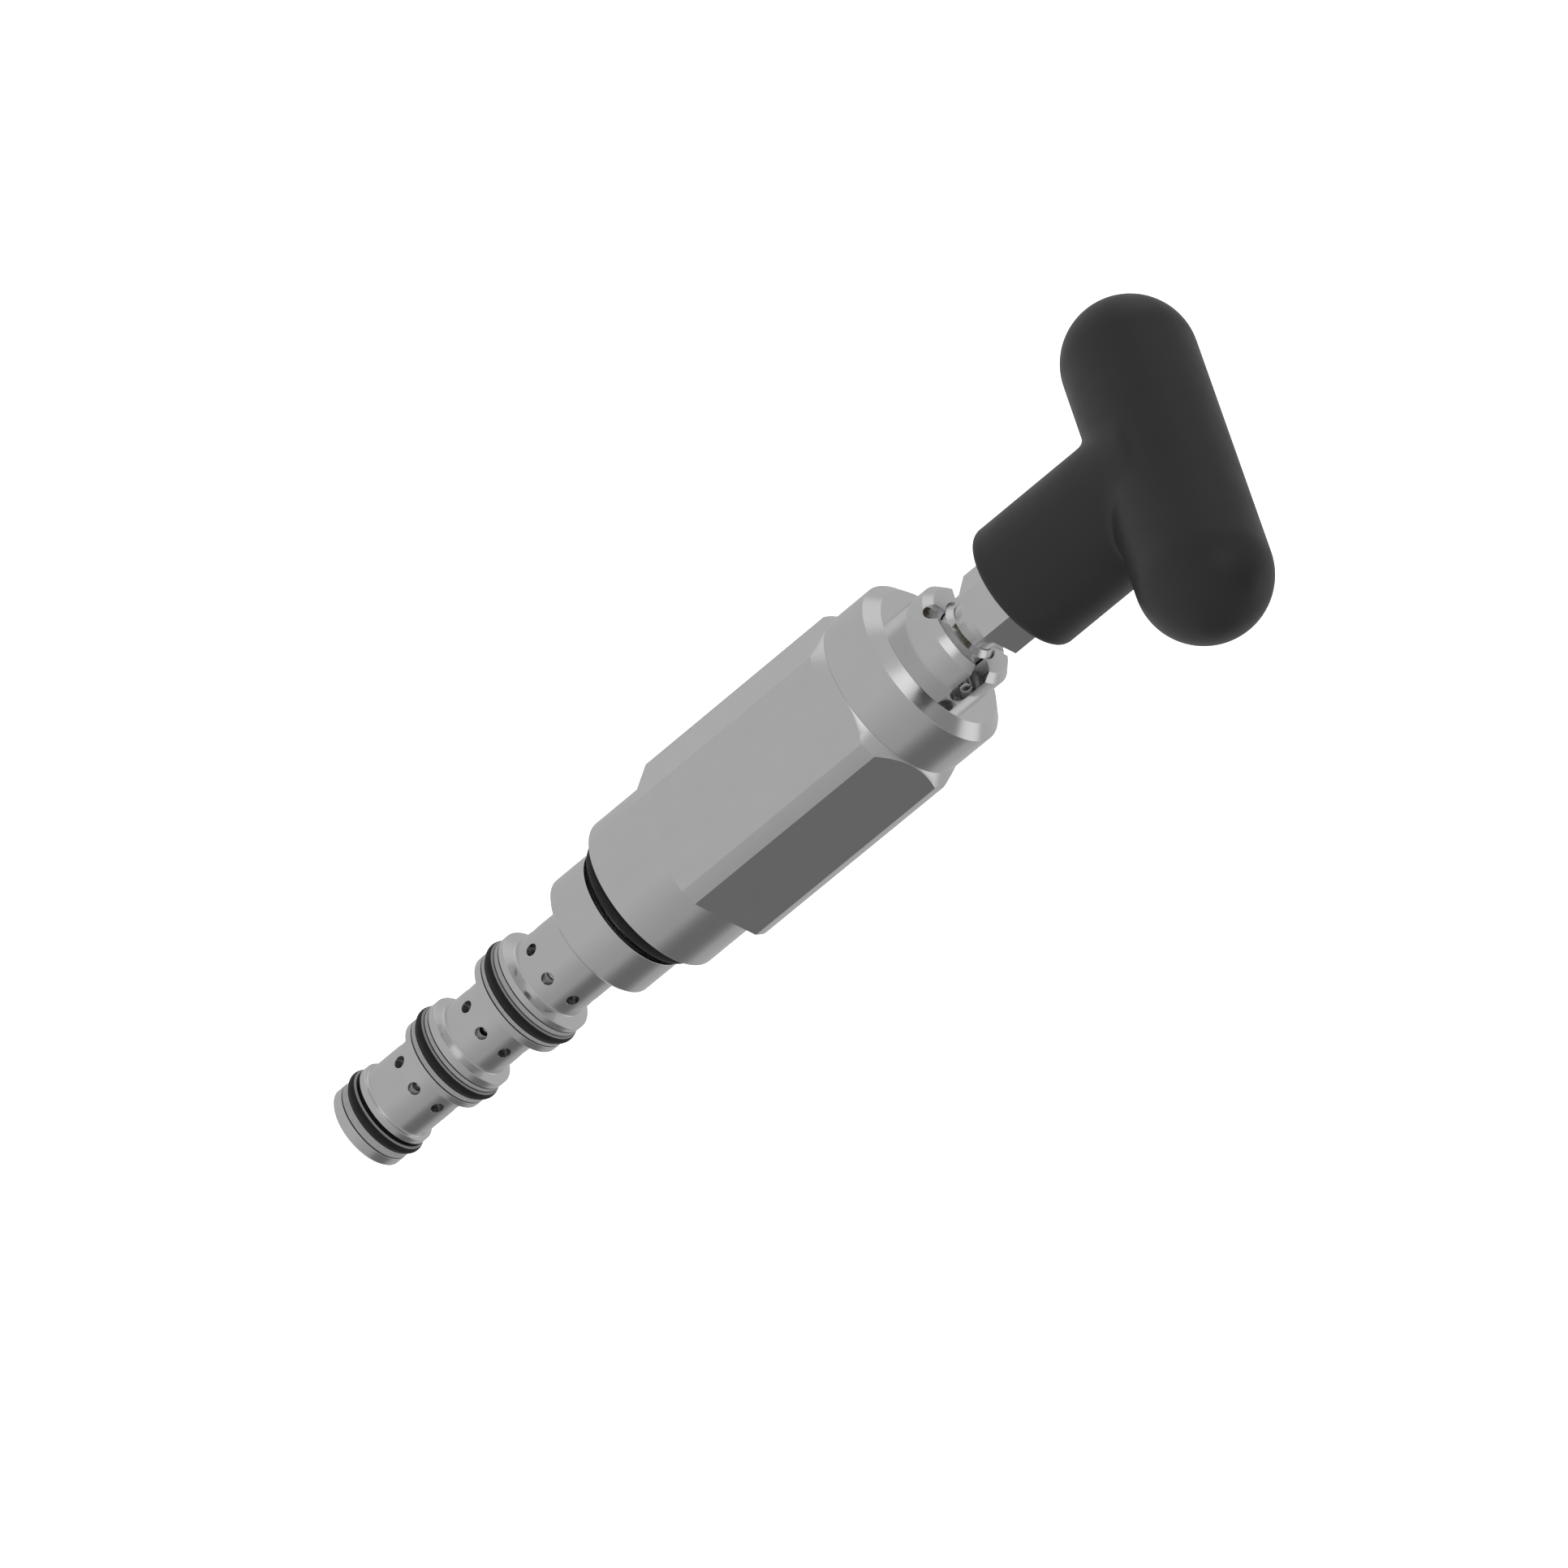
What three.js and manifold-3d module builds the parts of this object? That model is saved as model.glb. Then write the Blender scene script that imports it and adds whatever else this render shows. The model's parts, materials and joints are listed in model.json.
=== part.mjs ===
// Manual push-pull cartridge valve: four-way spool cartridge with a pull-and-turn detent and a T-handle.
// Millimetres, +Z along the valve axis towards the handle. The origin is on the axis, in the plane of the
// collar's seating face. +X runs along the handle bar and the roll pin.
import * as THREE from 'three';
import * as BufferGeometryUtils from 'three/addons/utils/BufferGeometryUtils.js';
import Module from 'manifold-3d';

const wasm = await Module();
wasm.setup();

// ---- Driving dimensions ----

const FACETS = 24; // sides of a large turned piece
const SMALL_FACETS = 20; // sides of a piece inside another
const GAP = 0.3; // play where one piece rests on another

// Sleeve (the cage with the ports)
const SLEEVE = {
  noseZ: -55.96,
  topZ: 2.2,
  boreR: 4.0,
  noseChamfer: 0.4,
  boreChamfer: 0.6,
  spigotR: 6.2,
  facets: 28,
};
// Each land: its ends, the neck behind it, its ring groove and the rings in it, nose side first
const LANDS = [
  {
    radius: 6.31,
    startZ: -55.96,
    endZ: -49.49,
    neckZ: -49.39,
    neckR: 5.715,
    groove: { startZ: -54.11, endZ: -50.47, floorR: 4.85 },
    oRing: { z: -51.9, outerR: 6.75 },
    backups: [[-54.06, -52.82]],
  },
  {
    radius: 7.095,
    startZ: -40.73,
    endZ: -34.99,
    neckZ: -34.52,
    neckR: 5.72,
    groove: { startZ: -39.71, endZ: -36.17, floorR: 5.6 },
    oRing: { z: -37.86, outerR: 7.525 },
    backups: [[-39.66, -38.8], [-36.93, -36.22]],
  },
  {
    radius: 7.9,
    startZ: -26.36,
    endZ: -20.72,
    neckZ: -20.05,
    neckR: 6.235,
    groove: { startZ: -25.18, endZ: -21.66, floorR: 6.36 },
    oRing: { z: -23.48, outerR: 8.3 },
    backups: [[-25.13, -24.42], [-22.55, -21.71]],
  },
];
const PORT_ROWS_Z = [-43.5, -30.4, -17.25];
const PORT_HOLE_R = 0.9;
const PORT_HOLES = 8;
const RING_CORD = 1.78;
const BACKUP_PLAY = 0.05; // a backup ring stands this much below its land
const LOCK_RING = { z: -6.0, meanR: 6.35, cord: 1.0, grooveHeight: 1.4 };

// Hexagon body with the mounting thread and collar
const BODY = {
  noseZ: -10.41,
  threadR: 9.455,
  threadChamfer: 0.5,
  reliefZ: -3.53,
  reliefR: 8.0,
  seatInnerR: 10.65,
  glandDepth: 0.1,
  collarR: 11.95,
  hexZ: 10.12,
  hexTopZ: 45.7,
  hexAcrossFlats: 25.4,
  hexCornerR: 14.0,
  hexChamferZ: 44.14,
  hexTopR: 12.6,
  sleeveBoreR: 6.5,
  sleeveStopZ: 2.5,
  throatR: 5.2,
  floorZ: 4.3,
  chamberR: 8.5,
  capBoreZ: 36.0,
  capBoreR: 10.0,
};
const SHOULDER_RING = { z: -1.52, meanR: 9.285, cord: 2.21 };

// Detent cap with the slotted turret
const CAP = {
  spigotZ: 36.5,
  spigotR: 9.7,
  flangeZ: 46.0,
  flangeR: 12.665,
  chamferZ: 52.96,
  topZ: 54.55,
  topR: 10.75,
  turretR: 7.95,
  turretChamferZ: 59.44,
  turretTopZ: 60.56,
  turretTopR: 6.95,
  boreR: 4.6,
  glandR: 6.3,
  glandTopZ: 51.2,
};
const CAP_RING = { z: 41.3, meanR: 8.98, grooveFloorR: 7.95, grooveHeight: 2.2 };
const CLIP_GROOVE = { startZ: 37.3, endZ: 38.7, radius: 6.9 };
const DEEP_SLOT = { width: 2.65, bottomZ: 54.65 };
const NOTCH = { radius: 1.25, centreZ: 60.5 };

// Fixed pieces round the stem
const BUSHING = { startZ: 39.0, endZ: 47.4, innerR: 4.55, outerR: 6.2 };
const BUSHING_CLIP = { startZ: 37.45, endZ: 38.55, innerR: 5.0, outerR: 6.75, opening: 0.7 };
const STEM_RING = { z: 48.6, meanR: 5.35, cord: 1.74 };
const STEM_BACKUP = { startZ: 49.6, endZ: 50.9, innerR: 4.5, outerR: 6.2 };
const UPPER_SEAT = { startZ: 34.7, endZ: 36.2, innerR: 4.75, outerR: 8.1 };

// Return spring
const SPRING = { wire: 1.4, meanR: 6.6, turns: 8, startZ: 6.4, endZ: 34.4, endPitchShare: 0.48 };
const SPRING_STEPS_PER_TURN = 12;

// Moving pieces
const LIFT = 4.8; // full pull of the handle
const SPOOL = {
  noseZ: -46.9,
  landR: 3.93,
  coreR: 3.3,
  boreR: 1.4,
  boreTopZ: -14.0,
  socketZ: -12.3,
  socketR: 1.95,
  topZ: -8.0,
  crossDrillZ: -15.4,
  crossDrillR: 0.9,
  grooves: [[-45.0, -19.9], [-18.2, -12.5]],
};
const STEM = {
  bottomZ: -12.0,
  tailR: 1.8,
  tailTopZ: -7.0,
  rodR: 2.9,
  clipGroove: { startZ: 3.3, endZ: 4.4, floorR: 2.3 },
  shoulderZ: 30.1,
  guideR: 4.42,
  guideTopZ: 60.2,
  neckR: 3.62,
  neckTopZ: 64.0,
  studR: 3.175,
  topZ: 86.0,
  topChamfer: 0.5,
};
const COUPLING_PIN = { z: -10.2, radius: 0.7, length: 7.5, holeR: 0.9 };
const SEAT_CLIP = { startZ: 3.4, endZ: 4.3, innerR: 2.45, outerR: 4.6, opening: 0.9 };
const LOWER_SEAT = { startZ: 4.6, endZ: 6.1, innerR: 3.15, outerR: 8.1 };
const STOP_SLEEVE = { startZ: 6.4, innerR: 3.15, outerR: 5.2, play: 0.1 };
const ROLL_PIN = { z: 57.2, outerR: 0.9, innerR: 0.42, length: 15.8, holeR: 1.1, opening: 0.5, slitTilt: 0.21 };
const NUT = { startZ: 64.09, endZ: 69.6, cornerR: 6.31, boreR: 3.5 };
const HANDLE = {
  rimZ: 70.01,
  neckR: 9.5,
  rimChamfer: 0.5,
  taperZ: 88.0,
  barZ: 97.1,
  barR: 9.3,
  barCentres: 37.5,
  boreR: 5.8,
  boreTopZ: 86.6,
};
const INSERT = { startZ: 71.0, endZ: 86.0, innerR: 3.5, outerR: 5.5 };
const HANDLE_SET = THREE.MathUtils.degToRad(2.2); // where the handle and its nut came tight, past the pin's line

// ---- Materials ----

const FINISH = {
  steel: { color: 0xb4b5b6, roughness: 0.22, metalness: 1.0 },
  plating: { color: 0xbdbebf, roughness: 0.18, metalness: 1.0 },
  rubber: { color: 0x17181a, roughness: 0.55, metalness: 0.0 },
  ring: { color: 0xb8b8b8, roughness: 0.35, metalness: 0.0 },
  springSteel: { color: 0x8f9194, roughness: 0.3, metalness: 1.0 },
  bronze: { color: 0xb08850, roughness: 0.35, metalness: 1.0 },
  brass: { color: 0xc9a24e, roughness: 0.3, metalness: 1.0 },
  plastic: { color: 0x242527, roughness: 0.42, metalness: 0.0 },
};

// ---- Geometry helpers ----

// A turned solid about Z from [radius, z] points, anticlockwise, on the axis at both ends or closed
function turned(points, facets = FACETS) {
  const profile = points.map(([radius, z]) => new THREE.Vector2(radius, z));
  const onAxis = points[0][0] === 0 && points.at(-1)[0] === 0;
  if (!onAxis) {
    profile.push(profile[0].clone());
  }
  return new THREE.LatheGeometry(profile, facets).rotateX(Math.PI / 2);
}

// A flat ring of rectangular section
function washer({ innerR, outerR, startZ, endZ }, facets = FACETS) {
  return turned([[innerR, startZ], [outerR, startZ], [outerR, endZ], [innerR, endZ]], facets);
}

// A ring of round section
function cordRing({ z, meanR, cord }, facets = FACETS) {
  return new THREE.TorusGeometry(meanR, cord / 2, 6, facets).translate(0, 0, z);
}

// A flat ring with a gap, as a snap ring or a slit tube is, made along +Z
function splitRing(innerR, outerR, height, opening, curveSegments) {
  const shape = new THREE.Shape();
  shape.absarc(0, 0, outerR, opening / 2, 2 * Math.PI - opening / 2, false);
  shape.absarc(0, 0, innerR, 2 * Math.PI - opening / 2, opening / 2, true);
  return new THREE.ExtrudeGeometry(shape, { depth: height, bevelEnabled: false, curveSegments });
}

// A prism of regular hexagon section with one flat facing +X
function hexPrism(cornerR, startZ, endZ) {
  const height = endZ - startZ;
  return new THREE.CylinderGeometry(cornerR, cornerR, height, 6)
    .rotateX(Math.PI / 2)
    .rotateZ(Math.PI / 6 + Math.PI / 2)
    .translate(0, 0, startZ + height / 2);
}

// A round bar through the axis at height z, at an angle about Z from +X
function crossBar(radius, length, z, angle, facets = 12) {
  return new THREE.CylinderGeometry(radius, radius, length, facets)
    .rotateZ(Math.PI / 2)
    .rotateZ(angle)
    .translate(0, 0, z);
}

function toSolid(geometry) {
  const plain = geometry.clone();
  plain.deleteAttribute('normal');
  plain.deleteAttribute('uv');
  const merged = BufferGeometryUtils.mergeVertices(plain, 1e-4);
  const corners = merged.index.array;
  const triangles = [];
  for (let i = 0; i < corners.length; i += 3) {
    const [a, b, c] = corners.slice(i, i + 3);
    if (a !== b && b !== c && c !== a) {
      triangles.push(a, b, c);
    }
  }
  const mesh = new wasm.Mesh({
    numProp: 3,
    vertProperties: new Float32Array(merged.attributes.position.array),
    triVerts: new Uint32Array(triangles),
  });
  return new wasm.Manifold(mesh);
}

function toGeometry(solid) {
  const mesh = solid.getMesh();
  const geometry = new THREE.BufferGeometry();
  geometry.setAttribute('position', new THREE.BufferAttribute(mesh.vertProperties, 3));
  geometry.setIndex(new THREE.BufferAttribute(mesh.triVerts, 1));
  geometry.computeVertexNormals();
  return geometry;
}

function cut(geometry, cutters) {
  const solid = cutters.reduce((rest, cutter) => rest.subtract(toSolid(cutter)), toSolid(geometry));
  return toGeometry(solid);
}

function piece(name, geometry, finish) {
  const mesh = new THREE.Mesh(geometry, new THREE.MeshStandardMaterial(FINISH[finish]));
  mesh.name = name;
  return mesh;
}

// ---- Fixed pieces ----

// The sleeve: three lands with ring grooves, three necks with rows of port holes, and a spigot in the body
function sleeve() {
  const grooveStart = LOCK_RING.z - LOCK_RING.grooveHeight / 2;
  const grooveEnd = LOCK_RING.z + LOCK_RING.grooveHeight / 2;
  const grooveR = LOCK_RING.meanR - LOCK_RING.cord / 2 - 0.15;
  const outline = [
    [SLEEVE.boreR, SLEEVE.noseZ + SLEEVE.boreChamfer],
    [SLEEVE.boreR + SLEEVE.boreChamfer, SLEEVE.noseZ],
    [LANDS[0].radius - SLEEVE.noseChamfer, SLEEVE.noseZ],
    [LANDS[0].radius, SLEEVE.noseZ + SLEEVE.noseChamfer],
  ];
  LANDS.forEach((land, index) => {
    if (index > 0) {
      outline.push([LANDS[index - 1].neckR, land.startZ]);
      outline.push([land.radius, land.startZ]);
    }
    outline.push([land.radius, land.groove.startZ]);
    outline.push([land.groove.floorR, land.groove.startZ]);
    outline.push([land.groove.floorR, land.groove.endZ]);
    outline.push([land.radius, land.groove.endZ]);
    outline.push([land.radius, land.endZ]);
    outline.push([land.neckR, land.neckZ]);
  });
  outline.push([SLEEVE.spigotR, BODY.noseZ - GAP]);
  outline.push([SLEEVE.spigotR, grooveStart]);
  outline.push([grooveR, grooveStart]);
  outline.push([grooveR, grooveEnd]);
  outline.push([SLEEVE.spigotR, grooveEnd]);
  outline.push([SLEEVE.spigotR, SLEEVE.topZ]);
  outline.push([SLEEVE.boreR, SLEEVE.topZ]);
  const holes = [];
  for (const z of PORT_ROWS_Z) {
    for (let i = 0; i < PORT_HOLES / 2; i += 1) {
      holes.push(crossBar(PORT_HOLE_R, 4 * BODY.collarR, z, (i * 2 * Math.PI) / PORT_HOLES, 10));
    }
  }
  return piece('sleeve', cut(turned(outline, SLEEVE.facets), holes), 'steel');
}

// The rings that stand in a land's groove
function landRings(land, number, firstBackup) {
  const oRing = cordRing({ z: land.oRing.z, meanR: land.oRing.outerR - RING_CORD / 2, cord: RING_CORD });
  const rings = [piece(`land_o_ring_${number}`, oRing, 'rubber')];
  land.backups.forEach(([startZ, endZ], index) => {
    const innerR = land.groove.floorR + 0.1;
    const outerR = land.radius - BACKUP_PLAY;
    const backup = washer({ innerR, outerR, startZ, endZ });
    rings.push(piece(`backup_ring_${firstBackup + index}`, backup, 'ring'));
  });
  return rings;
}

// The hexagon body: thread, ring gland, collar and hexagon outside, spring chamber inside
function hexBody() {
  const lockStart = LOCK_RING.z - LOCK_RING.grooveHeight / 2;
  const lockEnd = LOCK_RING.z + LOCK_RING.grooveHeight / 2;
  const lockR = LOCK_RING.meanR + LOCK_RING.cord / 2 + 0.1;
  const outline = [
    [BODY.sleeveBoreR, BODY.noseZ],
    [BODY.threadR - BODY.threadChamfer, BODY.noseZ],
    [BODY.threadR, BODY.noseZ + BODY.threadChamfer],
    [BODY.threadR, BODY.reliefZ],
    [BODY.reliefR, BODY.reliefZ],
    [BODY.reliefR, BODY.glandDepth],
    [BODY.seatInnerR, BODY.glandDepth],
    [BODY.seatInnerR, 0],
    [BODY.collarR, 0],
    [BODY.collarR, BODY.hexZ],
    [BODY.hexCornerR, BODY.hexZ],
    [BODY.hexCornerR, BODY.hexChamferZ],
    [BODY.hexTopR, BODY.hexTopZ],
    [BODY.capBoreR, BODY.hexTopZ],
    [BODY.capBoreR, BODY.capBoreZ],
    [BODY.chamberR, BODY.capBoreZ],
    [BODY.chamberR, BODY.floorZ],
    [BODY.throatR, BODY.floorZ],
    [BODY.throatR, BODY.sleeveStopZ],
    [BODY.sleeveBoreR, BODY.sleeveStopZ],
    [BODY.sleeveBoreR, lockEnd],
    [lockR, lockEnd],
    [lockR, lockStart],
    [BODY.sleeveBoreR, lockStart],
  ];
  const frame = new THREE.Shape();
  frame.absarc(0, 0, 2 * BODY.hexCornerR, 0, 2 * Math.PI, false);
  const flats = new THREE.Path();
  const cornerR = BODY.hexAcrossFlats / Math.sqrt(3);
  for (let i = 0; i < 6; i += 1) {
    const angle = -(Math.PI / 6 + (i * Math.PI) / 3);
    const corner = [cornerR * Math.cos(angle), cornerR * Math.sin(angle)];
    if (i === 0) {
      flats.moveTo(...corner);
    } else {
      flats.lineTo(...corner);
    }
  }
  flats.closePath();
  frame.holes.push(flats);
  const overcut = BODY.hexTopZ - BODY.hexZ + 1;
  const milling = new THREE.ExtrudeGeometry(frame, {
    depth: overcut,
    bevelEnabled: false,
    curveSegments: 6,
  }).translate(0, 0, BODY.hexZ);
  return piece('hex_body', cut(turned(outline), [milling]), 'plating');
}

// The detent cap: spigot, flange and turret, with two deep slots and two shallow notches for the roll pin
function detentCap() {
  const ringStart = CAP_RING.z - CAP_RING.grooveHeight / 2;
  const ringEnd = CAP_RING.z + CAP_RING.grooveHeight / 2;
  const outline = [
    [CAP.glandR, CAP.spigotZ],
    [CAP.spigotR, CAP.spigotZ],
    [CAP.spigotR, ringStart],
    [CAP_RING.grooveFloorR, ringStart],
    [CAP_RING.grooveFloorR, ringEnd],
    [CAP.spigotR, ringEnd],
    [CAP.spigotR, CAP.flangeZ],
    [CAP.flangeR, CAP.flangeZ],
    [CAP.flangeR, CAP.chamferZ],
    [CAP.topR, CAP.topZ],
    [CAP.turretR, CAP.topZ],
    [CAP.turretR, CAP.turretChamferZ],
    [CAP.turretTopR, CAP.turretTopZ],
    [CAP.boreR, CAP.turretTopZ],
    [CAP.boreR, CAP.glandTopZ],
    [CAP.glandR, CAP.glandTopZ],
    [CAP.glandR, CLIP_GROOVE.endZ],
    [CLIP_GROOVE.radius, CLIP_GROOVE.endZ],
    [CLIP_GROOVE.radius, CLIP_GROOVE.startZ],
    [CAP.glandR, CLIP_GROOVE.startZ],
  ];
  const slotR = DEEP_SLOT.width / 2;
  const slot = roundBottomCut(slotR, DEEP_SLOT.bottomZ + slotR).rotateZ(Math.PI / 2);
  const notch = roundBottomCut(NOTCH.radius, NOTCH.centreZ);
  return piece('detent_cap', cut(turned(outline), [slot, notch]), 'plating');
}

// A cutter along Y through the turret: round below centreZ, straight above
function roundBottomCut(radius, centreZ) {
  const clearZ = CAP.turretTopZ + 2;
  const shape = new THREE.Shape();
  shape.moveTo(radius, clearZ);
  shape.lineTo(-radius, clearZ);
  shape.lineTo(-radius, centreZ);
  shape.absarc(0, centreZ, radius, Math.PI, 2 * Math.PI, false);
  shape.closePath();
  const length = 3 * CAP.turretR;
  return new THREE.ExtrudeGeometry(shape, { depth: length, bevelEnabled: false, curveSegments: 8 })
    .rotateX(Math.PI / 2)
    .translate(0, length / 2, 0);
}

function bushingClip() {
  const { innerR, outerR, startZ, endZ, opening } = BUSHING_CLIP;
  const ring = splitRing(innerR, outerR, endZ - startZ, opening, SMALL_FACETS);
  return piece('bushing_retaining_ring', ring.translate(0, 0, startZ), 'springSteel');
}

// The spring's centre line: end turns closer than the middle ones
class SpringLine extends THREE.Curve {
  getPoint(t, target = new THREE.Vector3()) {
    const radius = SPRING.wire / 2;
    const travel = SPRING.endZ - SPRING.startZ - SPRING.wire;
    const share = t - ((1 - SPRING.endPitchShare) / (2 * Math.PI)) * Math.sin(2 * Math.PI * t);
    const angle = 2 * Math.PI * SPRING.turns * t;
    return target.set(
      SPRING.meanR * Math.cos(angle),
      SPRING.meanR * Math.sin(angle),
      SPRING.startZ + radius + travel * share,
    );
  }
}

function returnSpring() {
  const section = new THREE.Shape();
  section.absarc(0, 0, SPRING.wire / 2, 0, 2 * Math.PI, false);
  const coil = new THREE.ExtrudeGeometry(section, {
    steps: SPRING.turns * SPRING_STEPS_PER_TURN,
    extrudePath: new SpringLine(),
    curveSegments: 3,
  });
  return piece('return_spring', coil, 'springSteel');
}

// ---- Moving pieces ----

// The spool: two grooves that join neighbouring ports, and a bore from the upper groove to the nose
function spool() {
  const outline = [
    [0, SPOOL.boreTopZ],
    [SPOOL.boreR, SPOOL.boreTopZ],
    [SPOOL.boreR, SPOOL.noseZ],
    [SPOOL.landR, SPOOL.noseZ],
  ];
  for (const [startZ, endZ] of SPOOL.grooves) {
    outline.push([SPOOL.landR, startZ]);
    outline.push([SPOOL.coreR, startZ]);
    outline.push([SPOOL.coreR, endZ]);
    outline.push([SPOOL.landR, endZ]);
  }
  outline.push([SPOOL.landR, SPOOL.topZ]);
  outline.push([SPOOL.socketR, SPOOL.topZ]);
  outline.push([SPOOL.socketR, SPOOL.socketZ]);
  outline.push([0, SPOOL.socketZ]);
  const crossDrill = crossBar(SPOOL.crossDrillR, 4 * SPOOL.landR, SPOOL.crossDrillZ, 0, 8);
  const pinHole = crossBar(COUPLING_PIN.holeR, 4 * SPOOL.landR, COUPLING_PIN.z, Math.PI / 2, 8);
  return piece('spool', cut(turned(outline, SMALL_FACETS), [crossDrill, pinHole]), 'steel');
}

// The stem: tail in the spool, rod through the spring, guide in the cap and threaded stud for the handle
function stem() {
  const outline = [
    [0, STEM.bottomZ],
    [STEM.tailR, STEM.bottomZ],
    [STEM.tailR, STEM.tailTopZ],
    [STEM.rodR, STEM.tailTopZ],
    [STEM.rodR, STEM.clipGroove.startZ],
    [STEM.clipGroove.floorR, STEM.clipGroove.startZ],
    [STEM.clipGroove.floorR, STEM.clipGroove.endZ],
    [STEM.rodR, STEM.clipGroove.endZ],
    [STEM.rodR, STEM.shoulderZ],
    [STEM.guideR, STEM.shoulderZ],
    [STEM.guideR, STEM.guideTopZ],
    [STEM.neckR, STEM.guideTopZ + STEM.guideR - STEM.neckR],
    [STEM.neckR, STEM.neckTopZ],
    [STEM.studR, STEM.neckTopZ],
    [STEM.studR, STEM.topZ - STEM.topChamfer],
    [STEM.studR - STEM.topChamfer, STEM.topZ],
    [0, STEM.topZ],
  ];
  const rollPinHole = crossBar(ROLL_PIN.holeR, 4 * STEM.guideR, ROLL_PIN.z, 0);
  const couplingHole = crossBar(COUPLING_PIN.holeR, 4 * STEM.guideR, COUPLING_PIN.z, Math.PI / 2, 8);
  return piece('stem', cut(turned(outline, SMALL_FACETS), [rollPinHole, couplingHole]), 'plating');
}

function couplingPin() {
  const { radius, length, z } = COUPLING_PIN;
  return piece('coupling_pin', crossBar(radius, length, z, Math.PI / 2, 10), 'springSteel');
}

function seatClip() {
  const { innerR, outerR, startZ, endZ, opening } = SEAT_CLIP;
  const ring = splitRing(innerR, outerR, endZ - startZ, opening, SMALL_FACETS / 2);
  return piece('seat_clip', ring.translate(0, 0, startZ), 'springSteel');
}

// The stop sleeve meets the upper spring seat at full pull
function stopSleeve() {
  const endZ = UPPER_SEAT.startZ - LIFT - STOP_SLEEVE.play;
  return piece('stop_sleeve', washer({ ...STOP_SLEEVE, endZ }, SMALL_FACETS), 'steel');
}

// The roll pin: a slit spring-steel tube along X, with its slit on top and a little to one side
function rollPin() {
  const { innerR, outerR, length, opening, slitTilt, z } = ROLL_PIN;
  const tube = splitRing(innerR, outerR, length, opening, 10)
    .rotateZ(Math.PI - slitTilt)
    .translate(0, 0, -length / 2)
    .rotateY(Math.PI / 2)
    .translate(0, 0, z);
  return piece('roll_pin', tube, 'springSteel');
}

function jamNut() {
  const bore = new THREE.CylinderGeometry(NUT.boreR, NUT.boreR, 4 * NUT.cornerR, SMALL_FACETS)
    .rotateX(Math.PI / 2)
    .translate(0, 0, NUT.startZ);
  return piece('jam_nut', cut(hexPrism(NUT.cornerR, NUT.startZ, NUT.endZ), [bore]), 'plating');
}

// The T-handle: a round-ended bar on a neck, with a blind bore for the threaded insert
function tHandle() {
  const neck = turned([
    [HANDLE.boreR, HANDLE.rimZ],
    [HANDLE.neckR - HANDLE.rimChamfer, HANDLE.rimZ],
    [HANDLE.neckR, HANDLE.rimZ + HANDLE.rimChamfer],
    [HANDLE.neckR, HANDLE.taperZ],
    [HANDLE.barR, HANDLE.barZ],
    [HANDLE.boreR, HANDLE.barZ],
  ]);
  const bar = new THREE.CapsuleGeometry(HANDLE.barR, HANDLE.barCentres, 6, FACETS)
    .rotateZ(Math.PI / 2)
    .translate(0, 0, HANDLE.barZ);
  const boreLength = HANDLE.boreTopZ - HANDLE.rimZ + 1;
  const bore = new THREE.CylinderGeometry(HANDLE.boreR, HANDLE.boreR, boreLength, FACETS)
    .rotateX(Math.PI / 2)
    .translate(0, 0, HANDLE.boreTopZ - boreLength / 2);
  const joined = toSolid(neck).add(toSolid(bar)).subtract(toSolid(bore));
  return piece('t_handle', toGeometry(joined), 'plastic');
}

// ---- Assembly ----

const valve = new THREE.Group();
valve.add(sleeve(), hexBody(), detentCap());
let firstBackup = 1;
LANDS.forEach((land, index) => {
  valve.add(...landRings(land, index + 1, firstBackup));
  firstBackup += land.backups.length;
});
valve.add(piece('shoulder_o_ring', cordRing(SHOULDER_RING), 'rubber'));
valve.add(piece('sleeve_lock_ring', cordRing(LOCK_RING), 'springSteel'));
valve.add(piece('cap_o_ring', cordRing({ ...CAP_RING, cord: RING_CORD }), 'rubber'));
valve.add(piece('stem_o_ring', cordRing(STEM_RING), 'rubber'));
valve.add(piece('stem_backup_ring', washer(STEM_BACKUP), 'ring'));
valve.add(piece('guide_bushing', washer(BUSHING), 'bronze'));
valve.add(bushingClip());
valve.add(piece('upper_spring_seat', washer(UPPER_SEAT), 'steel'));
valve.add(returnSpring());

const slider = new THREE.Group();
slider.add(spool(), couplingPin(), stem(), seatClip(), stopSleeve(), rollPin());
slider.add(piece('lower_spring_seat', washer(LOWER_SEAT), 'steel'));
const grip = new THREE.Group();
grip.add(jamNut(), tHandle(), piece('handle_insert', washer(INSERT, SMALL_FACETS), 'brass'));
grip.rotation.z = HANDLE_SET;
slider.add(grip);
valve.add(slider);

export default valve;
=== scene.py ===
"""Cartridge valve with a T-handle: fine meshes, procedural materials, studio and camera.

Lengths in the pieces' functions are millimetres, in the frame of the CAD model: +Z along the valve axis
towards the handle, +X along the handle bar. Every mesh is made in metres. Heights and outer radii come from
the boxes of the CAD nodes.
"""

import json
import math

import bmesh
import bpy
import numpy as np
from mathutils import Matrix, Vector


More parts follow.
